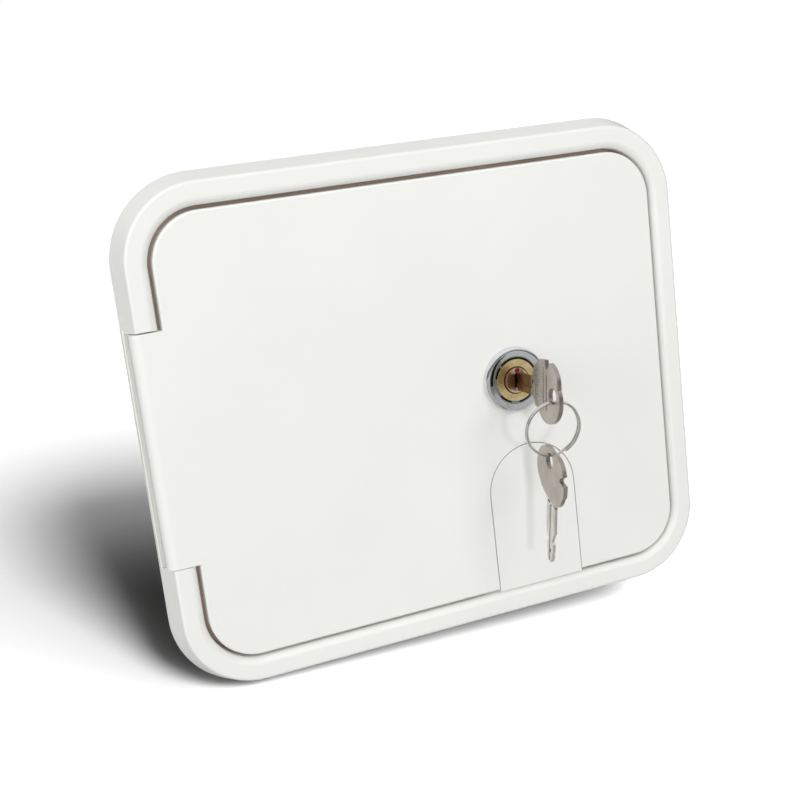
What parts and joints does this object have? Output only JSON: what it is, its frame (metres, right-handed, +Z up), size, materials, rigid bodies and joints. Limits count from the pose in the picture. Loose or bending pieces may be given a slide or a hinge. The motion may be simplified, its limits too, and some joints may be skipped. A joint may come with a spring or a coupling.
{
  "type": "lockable camper hatch door",
  "caption": "Flush rectangular camper hatch door in a drafted plastic frame, with a sprung cable flap, a cam lock and a ring of keys.",
  "frame": {"origin": "on the back face of the hollow frame, in the middle of the rim of its lower side, 1.2 mm above its lower edge, on the wall's outer face", "axes": "+X to the right seen from outside, +Y into the camper wall, +Z up; the wall's outer face is y = 0"},
  "size_m": [0.25, 0.0801, 0.214],
  "materials": {
    "white_plastic": "satin",
    "seal_rubber": "matt",
    "pin_steel": "satin",
    "lock_chrome": "polished",
    "lock_zinc": "satin",
    "lock_brass": "turned",
    "key_nickel": "brushed",
    "ring_steel": "polished",
    "mark_paint": "matt"
  },
  "bodies": {
    "frame": {"frame": "white_plastic", "door_seal": "seal_rubber", "hinge_pin_upper": "pin_steel", "hinge_pin_lower": "pin_steel"},
    "door": {"door_leaf": "white_plastic", "lock_rosette": "lock_chrome", "lock_body": "lock_zinc", "lock_nut": "lock_zinc", "lock_barrel": "lock_brass", "flap_pin": "pin_steel", "flap_spring": "pin_steel"},
    "flap": {"cable_flap": "white_plastic", "spring_end": "pin_steel"},
    "plug": {"lock_plug": "lock_brass", "lock_mark": "mark_paint", "lock_cam": "pin_steel", "cam_screw": "pin_steel"},
    "key": {"key_in_lock": "key_nickel"},
    "ring": {"key_ring": "ring_steel"},
    "spare": {"spare_key": "key_nickel"}
  },
  "joints": [
    {"name": "door_hinge", "type": "hinge", "parent": "frame", "child": "door", "pos_m": [-0.1192, -0.0077, 0.1058], "axis": [0, 0, -1], "range_deg": [0, 165]},
    {"name": "flap_hinge", "type": "hinge", "parent": "door", "child": "flap", "pos_m": [0.0403, -0.00655, 0.08225], "axis": [1, 0, 0], "range_deg": [0, 80], "stiffness_Nm_per_rad": 0.004, "springref_deg": -34.38},
    {"name": "lock_turn", "type": "hinge", "parent": "door", "child": "plug", "pos_m": [0.036, -0.012, 0.1073], "axis": [0, 1, 0], "range_deg": [-6, 84]},
    {"name": "key_slide", "type": "slide", "parent": "plug", "child": "key", "axis": [0, -1, 0], "range_m": [0, 0.018]},
    {"name": "ring_swing", "type": "hinge", "parent": "key", "child": "ring", "pos_m": [0.03583, -0.0492, 0.10565], "axis": [0.9948, -0.066, -0.0775], "range_deg": [-60, 15]},
    {"name": "spare_swing", "type": "hinge", "parent": "ring", "child": "spare", "pos_m": [0.03395, -0.04478, 0.0778], "axis": [0.9948, -0.066, -0.0775], "range_deg": [-60, 15]}
  ]
}
